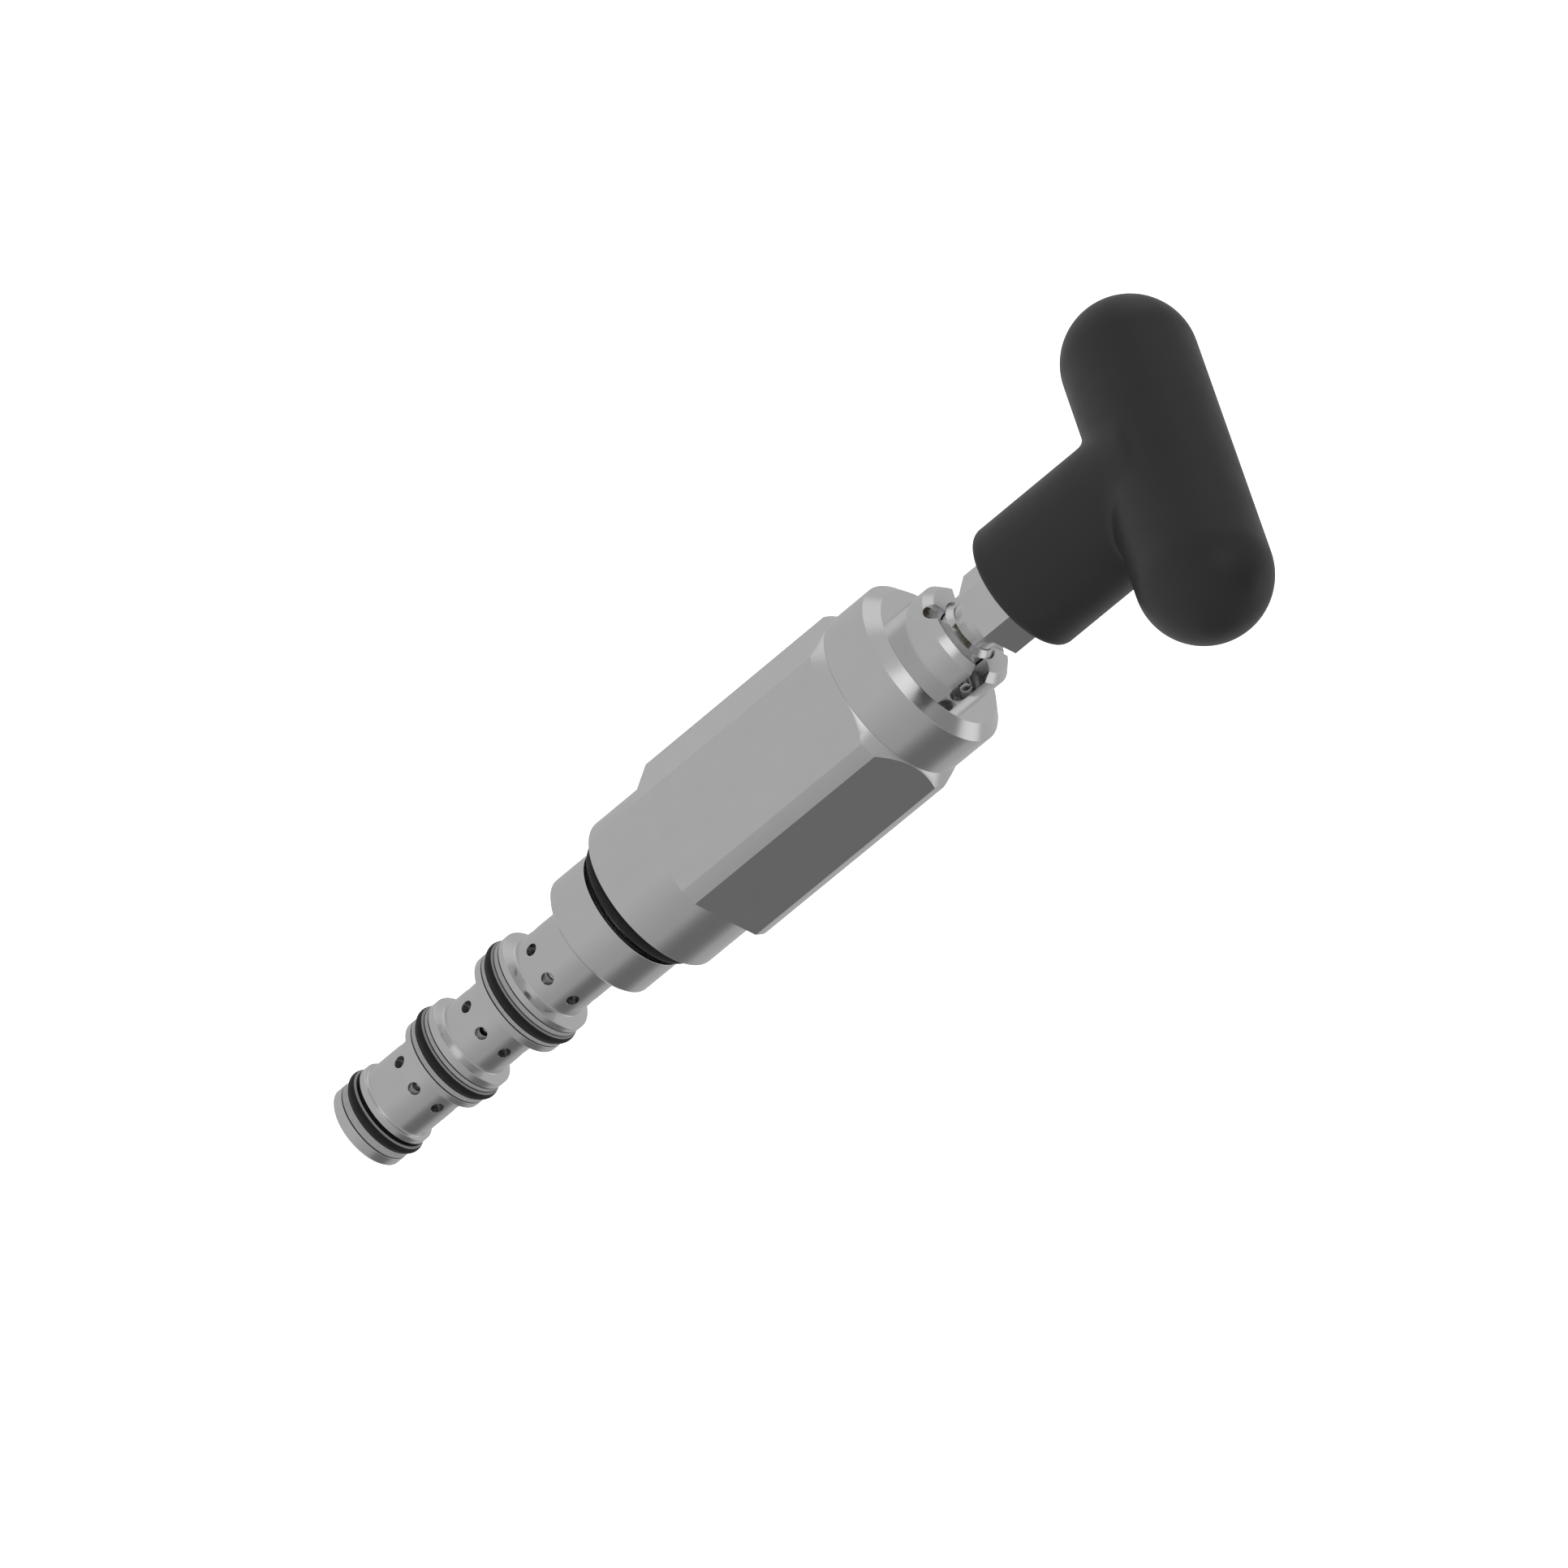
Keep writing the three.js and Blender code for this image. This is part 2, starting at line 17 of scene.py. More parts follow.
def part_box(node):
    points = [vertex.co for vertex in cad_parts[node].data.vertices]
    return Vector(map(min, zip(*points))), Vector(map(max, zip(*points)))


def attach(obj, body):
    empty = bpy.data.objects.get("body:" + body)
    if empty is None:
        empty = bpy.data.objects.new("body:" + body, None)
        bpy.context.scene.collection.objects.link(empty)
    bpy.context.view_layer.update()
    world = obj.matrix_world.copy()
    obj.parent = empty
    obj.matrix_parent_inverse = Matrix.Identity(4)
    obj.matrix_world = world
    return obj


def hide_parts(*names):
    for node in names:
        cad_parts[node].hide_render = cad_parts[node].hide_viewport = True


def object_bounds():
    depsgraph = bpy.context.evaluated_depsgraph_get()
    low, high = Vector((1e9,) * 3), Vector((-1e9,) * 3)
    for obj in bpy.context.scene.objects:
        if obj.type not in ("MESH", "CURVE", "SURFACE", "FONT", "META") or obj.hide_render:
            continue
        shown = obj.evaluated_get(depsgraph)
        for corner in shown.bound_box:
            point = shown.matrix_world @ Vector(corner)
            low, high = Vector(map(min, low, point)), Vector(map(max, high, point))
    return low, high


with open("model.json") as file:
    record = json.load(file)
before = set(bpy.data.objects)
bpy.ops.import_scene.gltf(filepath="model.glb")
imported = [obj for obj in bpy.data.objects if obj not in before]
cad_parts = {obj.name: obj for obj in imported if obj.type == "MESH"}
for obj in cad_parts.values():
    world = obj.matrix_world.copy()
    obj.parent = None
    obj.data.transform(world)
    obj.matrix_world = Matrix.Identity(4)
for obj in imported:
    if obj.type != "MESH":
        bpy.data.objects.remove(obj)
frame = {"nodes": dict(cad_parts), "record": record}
cad_low, cad_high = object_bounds()

MM = 0.001
ROUND_STEPS = 5  # steps in the arc of a rounded corner
ARC_SHARE = 0.49  # of the side beside a corner, the most that its arc takes
SUPPORT = 0.05  # mm from an arc to the point that keeps the shading flat beside it
SUPPORT_ROOM = 2.2  # times the arc and its support, the shortest side that gets one
FINE, MEDIUM, SMALL = 256, 160, 96  # steps round a turned piece
EDGE = 0.12  # mm, broken edge of a turned part
FLAT_AREA = 20  # mm2, no face of a turned surface is as large as this


# ---- Measures of the CAD nodes ----


def low_high(node):
    """The lowest and highest z of a CAD node, in mm."""
    low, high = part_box(node)
    return low.z / MM, high.z / MM


def outer_radius(node):
    """Half the X extent of a CAD node, in mm: the outer radius of a turned piece."""
    low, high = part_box(node)
    return (high.x - low.x) / 2 / MM


# ---- Mesh making ----


def rounded(outline, closed=True):
    """An outline of (radius, z, rounding) points, each corner that has a rounding turned into an arc."""
    fine = []
    count = len(outline)
    for index, (radius, z, rounding) in enumerate(outline):
        corner = Vector((radius, z))
        at_end = not closed and index in (0, count - 1)
        if rounding <= 0 or at_end:
            fine.append(corner)
            continue
        before = Vector(outline[index - 1][:2]) - corner
        after = Vector(outline[(index + 1) % count][:2]) - corner
        half_angle = before.angle(after) / 2
        room = ARC_SHARE * min(before.length, after.length)
        tangent = min(rounding / math.tan(half_angle), room)
        radius_used = tangent * math.tan(half_angle)
        middle = (before.normalized() + after.normalized()).normalized()
        centre = corner + middle * (radius_used / math.sin(half_angle))
        start = corner + before.normalized() * tangent
        end = corner + after.normalized() * tangent
        if before.length > SUPPORT_ROOM * (tangent + SUPPORT):
            fine.append(start + before.normalized() * SUPPORT)
        first, last = start - centre, end - centre
        turn = math.atan2(first.x * last.y - first.y * last.x, first.dot(last))
        for step in range(ROUND_STEPS + 1):
            angle = turn * step / ROUND_STEPS
            fine.append(centre + Matrix.Rotation(angle, 2) @ first)
        if after.length > SUPPORT_ROOM * (tangent + SUPPORT):
            fine.append(end + after.normalized() * SUPPORT)
    return fine


def new_piece(name, vertices, faces):
    """An object of that name from vertices in mm, with its faces pointing out."""
    mesh = bpy.data.meshes.new(name)
    mesh.from_pydata([(x * MM, y * MM, z * MM) for x, y, z in vertices], [], faces)
    shape = bmesh.new()
    shape.from_mesh(mesh)
    bmesh.ops.recalc_face_normals(shape, faces=shape.faces)
    shape.to_mesh(mesh)
    shape.free()
    piece = bpy.data.objects.new(name, mesh)
    bpy.context.scene.collection.objects.link(piece)
    return piece


def turned(name, outline, steps=MEDIUM, opening=0.0):
    """A solid of revolution about Z from (radius, z, rounding) points.

    An opening, in radians, leaves a slit centred on +X.
    """
    on_axis = outline[0][0] == 0 and outline[-1][0] == 0
    profile = rounded(outline, closed=not on_axis)
    whole = opening == 0
    columns = steps if whole else steps + 1
    vertices, grid = [], []
    for radius, z in profile:
        if radius < 1e-6:
            grid.append([len(vertices)] * columns)
            vertices.append((0.0, 0.0, z))
            continue
        row = []
        for column in range(columns):
            angle = opening / 2 + (2 * math.pi - opening) * column / steps
            row.append(len(vertices))
            vertices.append((radius * math.cos(angle), radius * math.sin(angle), z))
        grid.append(row)
    faces = []
    rows = len(grid)
    for row in range(rows - 1 if on_axis else rows):
        lower, upper = grid[row], grid[(row + 1) % rows]
        for column in range(steps):
            following = (column + 1) % columns
            corners = [lower[column], lower[following], upper[following], upper[column]]
            unique = list(dict.fromkeys(corners))
            if len(unique) > 2:
                faces.append(unique)
    if not whole:
        faces.append([row[0] for row in grid])
        faces.append([row[-1] for row in grid])
    return new_piece(name, vertices, faces)


def ring_of_cord(name, mean_radius, cord, z, steps=MEDIUM, section=28):
    """A ring of round section."""
    outline = []
    for step in range(section):
        angle = 2 * math.pi * step / section
        outline.append((mean_radius + cord / 2 * math.cos(angle), z + cord / 2 * math.sin(angle), 0))
    return turned(name, outline, steps)


def prism(name, outline, start, end):
    """A prism along Z from (x, y) points."""
    count = len(outline)
    vertices = [(x, y, start) for x, y in outline] + [(x, y, end) for x, y in outline]
    sides = [[i, (i + 1) % count, count + (i + 1) % count, count + i] for i in range(count)]
    caps = [list(range(count)), list(range(count, 2 * count))]
    return new_piece(name, vertices, sides + caps)


def hexagon(corner_radius, first_angle):
    """The six (x, y) corners of a hexagon, the first at an angle about Z from +X."""
    angles = [first_angle + index * math.pi / 3 for index in range(6)]
    return [(corner_radius * math.cos(angle), corner_radius * math.sin(angle)) for angle in angles]


def settle(piece):
    """Applies the piece's modifiers to its mesh."""
    mesh = bpy.data.meshes.new_from_object(piece.evaluated_get(bpy.context.evaluated_depsgraph_get()))
    piece.modifiers.clear()
    old = piece.data
    piece.data = mesh
    bpy.data.meshes.remove(old)
    mesh.name = piece.name
    return piece


def combine(piece, others, operation="DIFFERENCE"):
    """Cuts the other pieces out of this one, or joins them to it, and deletes them."""
    for other in others:
        modifier = piece.modifiers.new("combine", "BOOLEAN")
        modifier.operation = operation
        modifier.solver = "EXACT"
        modifier.object = other
    settle(piece)
    for other in others:
        bpy.data.objects.remove(other)
    return piece


def break_edges(piece, width, angle=30, segments=2):
    """Bevels the edges that are sharper than an angle in degrees by a width in mm."""
    bevel = piece.modifiers.new("edges", "BEVEL")
    bevel.limit_method = "ANGLE"
    bevel.angle_limit = math.radians(angle)
    bevel.width = width * MM
    bevel.segments = segments
    bevel.use_clamp_overlap = True
    bevel.miter_outer = "MITER_ARC"
    return settle(piece)


def smooth(piece, angle=28):
    """Smooth shading, led by the larger faces; edges sharper than the angle, in degrees, stay crisp.

    Milled flats keep their own normal.
    """
    mesh = piece.data
    mesh.set_sharp_from_angle(angle=math.radians(angle))
    mesh.polygons.foreach_set("use_smooth", [face.area < FLAT_AREA * MM * MM for face in mesh.polygons])
    weighting = piece.modifiers.new("normals", "WEIGHTED_NORMAL")
    weighting.keep_sharp = True
    weighting.weight = 100
    return settle(piece)


def moved(piece, matrix):
    """Moves the piece's mesh, in metres."""
    piece.data.transform(matrix)
    return piece


# ---- Materials ----


class Shader:
    """A material's node tree, with short calls for the nodes used here."""

    def __init__(self, name):
        self.material = bpy.data.materials.new(name)
        self.material.use_nodes = True
        self.nodes = self.material.node_tree.nodes
        self.links = self.material.node_tree.links
        self.surface = self.nodes["Principled BSDF"]
        self.place = self.nodes.new("ShaderNodeTexCoord").outputs["Object"]

    def link(self, value, socket):
        self.links.new(value, socket)

    def math(self, operation, first, second=0.0, third=0.0):
        """A calculation with numbers and outputs of other nodes."""
        node = self.nodes.new("ShaderNodeMath")
        node.operation = operation
        for socket, value in zip(node.inputs, (first, second, third)):
            if isinstance(value, (int, float)):
                socket.default_value = value
            else:
                self.link(value, socket)
        return node.outputs[0]

    def noise(self, size, detail, roughness=0.5, vector=None):
        """Noise whose features are about so many mm across, from 0 to 1."""
        scale = self.nodes.new("ShaderNodeVectorMath")
        scale.operation = "MULTIPLY"
        self.link(vector or self.place, scale.inputs[0])
        scale.inputs[1].default_value = [1 / (size * MM)] * 3
        node = self.nodes.new("ShaderNodeTexNoise")
        node.inputs["Scale"].default_value = 1.0
        node.inputs["Detail"].default_value = detail
        node.inputs["Roughness"].default_value = roughness
        self.link(scale.outputs[0], node.inputs["Vector"])
        return node.outputs["Fac"]

    def radial_place(self):
        """(distance from the axis, z, 0), so that a texture runs in rings as a lathe's marks do."""
        split = self.nodes.new("ShaderNodeSeparateXYZ")
        self.link(self.place, split.inputs[0])
        across = self.math("MULTIPLY", split.outputs["X"], split.outputs["X"])
        across = self.math("MULTIPLY_ADD", split.outputs["Y"], split.outputs["Y"], across)
        join = self.nodes.new("ShaderNodeCombineXYZ")
        self.link(self.math("SQRT", across), join.inputs["X"])
        self.link(split.outputs["Z"], join.inputs["Y"])
        return join.outputs[0]

    def spread(self, value, low, high, start=0.0, end=1.0):
        """Maps a value from start..end to low..high."""
        node = self.nodes.new("ShaderNodeMapRange")
        self.link(value, node.inputs["Value"])
        node.inputs["From Min"].default_value = start
        node.inputs["From Max"].default_value = end
        node.inputs["To Min"].default_value = low
        node.inputs["To Max"].default_value = high
        return node.outputs["Result"]

    def blend(self, share, first, second):
        """A colour between two colours."""
        node = self.nodes.new("ShaderNodeMix")
        node.data_type = "RGBA"
        self.link(share, node.inputs["Factor"])
        node.inputs[6].default_value = (*first, 1)
        node.inputs[7].default_value = (*second, 1)
        return node.outputs[2]

    def bump(self, height, distance, under=None):
        """A normal for a height of so many mm, on top of another normal."""
        node = self.nodes.new("ShaderNodeBump")
        node.inputs["Strength"].default_value = 1.0
        node.inputs["Distance"].default_value = distance * MM
        self.link(height, node.inputs["Height"])
        if under is not None:
            self.link(under, node.inputs["Normal"])
        return node.outputs["Normal"]


FILM_SHARE = 0.7  # the most that a metal's lighter film covers
MARK_DEPTH = 0.0006  # mm, a lathe's marks
CUT_ROUGHNESS = 0.34  # of drilled holes and milled slots
CUT_BLEND = 0.15  # mm over which a cut's finish goes over into the turned one


def metal(name, colour, film, roughness, turned_marks=True, cut_inside=0.0):
    """Bright machined metal: faint tool marks, and a mottled film of a second colour.

    What lies nearer the axis than cut_inside, in mm, has the duller finish of drilled holes and milled slots.
    """
    shader = Shader(name)
    surface = shader.surface
    surface.inputs["Metallic"].default_value = 1.0
    mottle = shader.noise(3.5, detail=5, roughness=0.55)
    share = shader.math("MULTIPLY", mottle, FILM_SHARE)
    shader.link(shader.blend(share, colour, film), surface.inputs["Base Color"])
    smudge = shader.noise(1.2, detail=6, roughness=0.6)
    rough = shader.spread(smudge, roughness * 0.86, roughness * 1.14, 0.3, 0.7)
    if cut_inside:
        split = shader.nodes.new("ShaderNodeSeparateXYZ")
        shader.link(shader.radial_place(), split.inputs[0])
        start, end = (cut_inside - CUT_BLEND) * MM, cut_inside * MM
        cut = shader.spread(split.outputs["X"], CUT_ROUGHNESS, 0.0, start, end)
        rough = shader.math("MAXIMUM", rough, cut)
    shader.link(rough, surface.inputs["Roughness"])
    grain = shader.noise(0.12, detail=2)
    normal = shader.bump(grain, MARK_DEPTH / 2)
    if turned_marks:
        rings = shader.noise(0.09, detail=3, vector=shader.radial_place())
        normal = shader.bump(rings, MARK_DEPTH, under=normal)
    shader.link(normal, surface.inputs["Normal"])
    return shader.material


def rubber(name):
    """Moulded nitrile: near black, with a faint bloom and a fine grain."""
    shader = Shader(name)
    surface = shader.surface
    clean, bloomed = (0.006, 0.0062, 0.0066), (0.0095, 0.0098, 0.0102)
    bloom = shader.spread(shader.noise(1.6, detail=5, roughness=0.65), 0.0, 1.0, 0.42, 0.72)
    shader.link(shader.blend(bloom, clean, bloomed), surface.inputs["Base Color"])
    grain = shader.noise(0.11, detail=4, roughness=0.6)
    shader.link(shader.spread(grain, 0.46, 0.6), surface.inputs["Roughness"])
    surface.inputs["Specular IOR Level"].default_value = 0.32
    shader.link(shader.bump(grain, 0.006), surface.inputs["Normal"])
    return shader.material


def ring_plastic(name):
    """Filled plastic of the backup rings: smooth, pale grey, with a faint cut grain round the ring."""
    shader = Shader(name)
    surface = shader.surface
    darker, lighter = (0.25, 0.25, 0.25), (0.33, 0.33, 0.33)
    tint = shader.noise(0.7, detail=4, roughness=0.6)
    shader.link(shader.blend(tint, darker, lighter), surface.inputs["Base Color"])
    cut = shader.noise(0.1, detail=3, vector=shader.radial_place())
    shader.link(shader.spread(cut, 0.28, 0.4), surface.inputs["Roughness"])
    shader.link(shader.bump(cut, 0.003), surface.inputs["Normal"])
    return shader.material


def moulded_plastic(name):
    """Semi-gloss black thermoset: a very fine spark-eroded grain and slow changes of gloss."""
    shader = Shader(name)
    surface = shader.surface
    darker, lighter = (0.0105, 0.0108, 0.0112), (0.016, 0.0162, 0.0168)
    tone = shader.noise(9.0, detail=4, roughness=0.6)
    shader.link(shader.blend(tone, darker, lighter), surface.inputs["Base Color"])
    gloss = shader.noise(5.0, detail=5, roughness=0.6)
    shader.link(shader.spread(gloss, 0.36, 0.46, 0.3, 0.7), surface.inputs["Roughness"])
    grain = shader.noise(0.16, detail=3, roughness=0.55)
    flow = shader.noise(2.5, detail=2)
    normal = shader.bump(flow, 0.012)
    normal = shader.bump(grain, 0.0035, under=normal)
    shader.link(normal, surface.inputs["Normal"])
    return shader.material


STEEL = (0.76, 0.76, 0.765), (0.84, 0.84, 0.845), 0.17  # colour, film, roughness
PLATE = (0.77, 0.77, 0.775), (0.85, 0.85, 0.855), 0.15
SPRING = (0.62, 0.62, 0.63), (0.82, 0.82, 0.82), 0.2
BRONZE = (0.46, 0.4, 0.31), (0.6, 0.53, 0.42), 0.3
BRASS = (0.56, 0.47, 0.28), (0.72, 0.62, 0.4), 0.25
MATERIALS = {
    "steel": metal("ground_steel", *STEEL),
    "drilled_steel": metal("drilled_steel", *STEEL, cut_inside=5.65),
    "plated_steel": metal("plated_steel", *PLATE),
    "milled_plate": metal("milled_plate", *PLATE, cut_inside=6.9),
    "spring_steel": metal("spring_steel", *SPRING, turned_marks=False),
    "bronze": metal("bearing_bronze", *BRONZE),
    "brass": metal("machined_brass", *BRASS),
    "rubber": rubber("nitrile_rubber"),
    "ring_plastic": ring_plastic("backup_ring_plastic"),
    "handle_plastic": moulded_plastic("black_moulded_plastic"),
}
SLOT_OF = {part["node"]: part["material_slot"] for part in frame["record"]["subparts"]}
BODIES = frame["record"]["behaviour"]["bodies"]
BODY_OF = {node: body for body, nodes in BODIES.items() for node in nodes}


def finish_piece(piece, node, shading=28, finish=None):
    """Shades a fine piece and puts it in the place of its CAD node.

    Its material is its slot's, or the finish named instead.
    """
    smooth(piece, shading)
    piece.data.materials.clear()
    piece.data.materials.append(MATERIALS[finish or SLOT_OF[node]])
    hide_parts(node)
    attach(piece, BODY_OF[node])


# ---- The sleeve and its rings ----

LAND_COUNT = 3
NECK_RADII = (5.715, 5.72, 6.235)  # behind each land
LAND_SPANS = ((-55.96, -49.49), (-40.73, -34.99), (-26.36, -20.72))
NECK_STARTS = (-49.39, -34.52, -20.05)  # where each land's handle-side face has come down to its neck
LAND_BACKUPS = (
    ("backup_ring_1",),
    ("backup_ring_2", "backup_ring_3"),
    ("backup_ring_4", "backup_ring_5"),
)
GROOVE_PLAY = 0.05
GROOVE_ENDS = (-50.47, -36.17, -21.66)
O_RING_PLAY = 0.12  # mm, from the groove's floor to the O-ring
BACKUP_BELOW_LAND = 0.05
BACKUP_LINE = 0.13  # mm, added to the gap between a backup ring and its land
CORD = 1.78  # mm, of the sleeve's and the cap's O-rings
HIGHLIGHT_FROM, HIGHLIGHT_TO = 41, 60  # degrees round the O-ring from its outermost line towards the handle, where the pale shell that paints its highlight lies
# steps in the arc of the pale shell that paints the O-ring's highlight
HIGHLIGHT_STEPS = 4
HIGHLIGHT_CLEARANCE = 0.03  # mm, from the O-ring to the edge of the pale shell that paints its highlight
HIGHLIGHT_ROOT = 0.3  # mm past the middle of the O-ring's section, where the pale shell of the painted highlight starts
BACKUP_PLAY = 0.08  # mm, from the groove's floor to a backup ring
SLEEVE_BORE = 4.0
PORT_ROWS = (-43.5, -30.4, -17.25)
PORTS_PER_ROW = 8
PORT_RADIUS = 0.9
PORT_DEBURR = 0.03


def land_radius(index):
    return outer_radius(LAND_BACKUPS[index][0]) + BACKUP_BELOW_LAND


def groove_floor(index):
    return outer_radius(f"land_o_ring_{index + 1}") - CORD - O_RING_PLAY


def groove_start(index):
    return low_high(LAND_BACKUPS[index][0])[0] - GROOVE_PLAY


def port_cutter(neck_radius, z, angle):
    """A drill with a flare that takes the burr off the hole's edge."""
    tip, end = SLEEVE_BORE - 2.0, neck_radius + 2 * PORT_DEBURR
    outline = [
        (0, tip, 0),
        (PORT_RADIUS, tip, 0),
        (PORT_RADIUS, neck_radius - PORT_DEBURR, 0),
        (PORT_RADIUS + 3 * PORT_DEBURR, end, 0),
        (0, end, 0),
    ]
    drill = turned("port_drill", outline, 48)
    outward = Matrix.Rotation(angle, 4, "Z") @ Matrix.Rotation(math.pi / 2, 4, "Y")
    return moved(drill, Matrix.Translation((0, 0, z * MM)) @ outward)


def sleeve():
    nose, top = low_high("sleeve")
    thread_start = low_high("hex_body")[0]
    lock_low, lock_high = low_high("sleeve_lock_ring")
    spigot, lock_groove, lock_play = 6.2, 5.7, 0.2
    bore_chamfer, nose_chamfer = 0.6, 0.4
    outline = [
        (SLEEVE_BORE, nose + bore_chamfer, EDGE),
        (SLEEVE_BORE + bore_chamfer, nose, EDGE),
        (land_radius(0) - nose_chamfer, nose, 0.1),
        (land_radius(0), nose + nose_chamfer, 0.15),
    ]
    for index in range(LAND_COUNT):
        land, floor = land_radius(index), groove_floor(index)
        start, end = LAND_SPANS[index]
        if index > 0:
            outline.append((NECK_RADII[index - 1], start, 0.25))
            outline.append((land, start, EDGE))
        outline.append((land, groove_start(index), 0.07))
        outline.append((floor, groove_start(index), 0.15))
        outline.append((floor, GROOVE_ENDS[index], 0.15))
        outline.append((land, GROOVE_ENDS[index], 0.07))
        outline.append((land, end, EDGE))
        outline.append((NECK_RADII[index], NECK_STARTS[index], 0.25))
    outline += [
        (NECK_RADII[-1], thread_start - 0.3, 0),
        (spigot, thread_start - 0.25, 0),
        (spigot, lock_low - lock_play, 0.05),
        (lock_groove, lock_low - lock_play, 0.1),
        (lock_groove, lock_high + lock_play, 0.1),
        (spigot, lock_high + lock_play, 0.05),
        (spigot, top, 0.2),
        (SLEEVE_BORE, top, 0.2),
    ]
    body = turned("sleeve_fine", outline, FINE)
    cutters = [
        port_cutter(NECK_RADII[row], z, 2 * math.pi * hole / PORTS_PER_ROW)
        for row, z in enumerate(PORT_ROWS)
        for hole in range(PORTS_PER_ROW)
    ]
    finish_piece(combine(body, cutters), "sleeve", finish="drilled_steel")


def land_rings():
    """Each land's O-ring with a pale shell on its shoulder as a painted highlight, and its backup rings."""
    for index in range(LAND_COUNT):
        node = f"land_o_ring_{index + 1}"
        low, high = low_high(node)
        mean = outer_radius(node) - CORD / 2
        finish_piece(ring_of_cord(f"{node}_fine", mean, CORD, (low + high) / 2), node)
        # a pale shell on the O-ring's shoulder: painted highlight
        painted_highlight_band(node, mean, (low + high) / 2)
        for backup in LAND_BACKUPS[index]:
            backup_ring(backup, groove_floor(index) + BACKUP_PLAY)


def backup_ring(node, inner):
    """A backup ring, a line's width clear of its land."""
    low, high = low_high(node)
    outer = outer_radius(node)
    if node in [rings[0] for rings in LAND_BACKUPS]:
        low += BACKUP_LINE
    else:
        high -= BACKUP_LINE
    outline = [(inner, low, 0.06), (outer, low, 0.04), (outer, high, 0.04), (inner, high, 0.06)]
    finish_piece(turned(f"{node}_fine", outline), node)


def painted_highlight_band(ring_node, mean, z):
    """A thin pale shell over the handle side of a land's O-ring: a painted highlight, laid where the O-ring's
    shoulder catches the overhead light.
    """
    reach = CORD / 2 + HIGHLIGHT_CLEARANCE
    outline = [(mean + HIGHLIGHT_ROOT, z + HIGHLIGHT_ROOT, 0)]
    for step in range(HIGHLIGHT_STEPS + 1):
        angle = math.radians(HIGHLIGHT_FROM + (HIGHLIGHT_TO - HIGHLIGHT_FROM) * step / HIGHLIGHT_STEPS)
        outline.append((mean + reach * math.cos(angle), z + reach * math.sin(angle), 0))
    outline.append((mean + 0.2, outline[-1][1], 0))
    piece = turned(f"{ring_node}_painted_highlight", outline)
    # the painted highlight shell takes the pale plastic of the land's backup ring
    finish_piece(piece, LAND_BACKUPS[int(ring_node[-1]) - 1][-1])


def flat_ring(node, inner, rounding=EDGE):
    """A ring of rectangular section with broken edges, as its CAD node lies."""
    low, high = low_high(node)
    outer = outer_radius(node)
    corners = ((inner, low), (outer, low), (outer, high), (inner, high))
    outline = [(radius, z, rounding) for radius, z in corners]
    finish_piece(turned(f"{node}_fine", outline), node)


# ---- The body and the cap ----

HEX_START, HEX_CHAMFER, HEX_TOP = 10.12, 44.14, 45.7
HEX_CORNER, HEX_TOP_RADIUS = 14.0, 12.6
THREAD_RADIUS, RELIEF_RADIUS, RELIEF_START = 9.455, 8.05, -3.53
COLLAR_RADIUS = 11.95
CAP_SEAT_CLEARANCE = 0.005  # what is left of the joint between the body and the cap
FACE_RING_WIDTH, FACE_GLAND_DEPTH = 1.3, 0.1  # the collar's outer face, and the ring gland inside it
CHAMBER, CHAMBER_FLOOR = 8.5, 4.3
CAP_BORE, CAP_BORE_FLOOR = 10.0, 36.0
THROAT, SLEEVE_STOP = 5.2, 2.5
SLEEVE_SEAT, BODY_LOCK_GROOVE, BODY_LOCK_PLAY = 6.5, 6.95, 0.1


def milled_hexagon(start, end, corner_radius, first_angle):
    """The stock outside a hexagon, to be cut away."""
    inner, outer = 2, 3 * corner_radius
    stock = turned("stock", [(inner, start, 0), (outer, start, 0), (outer, end, 0), (inner, end, 0)], 48)
    core = prism("core", hexagon(corner_radius, first_angle), start - 1, end + 1)
    return combine(stock, [core])


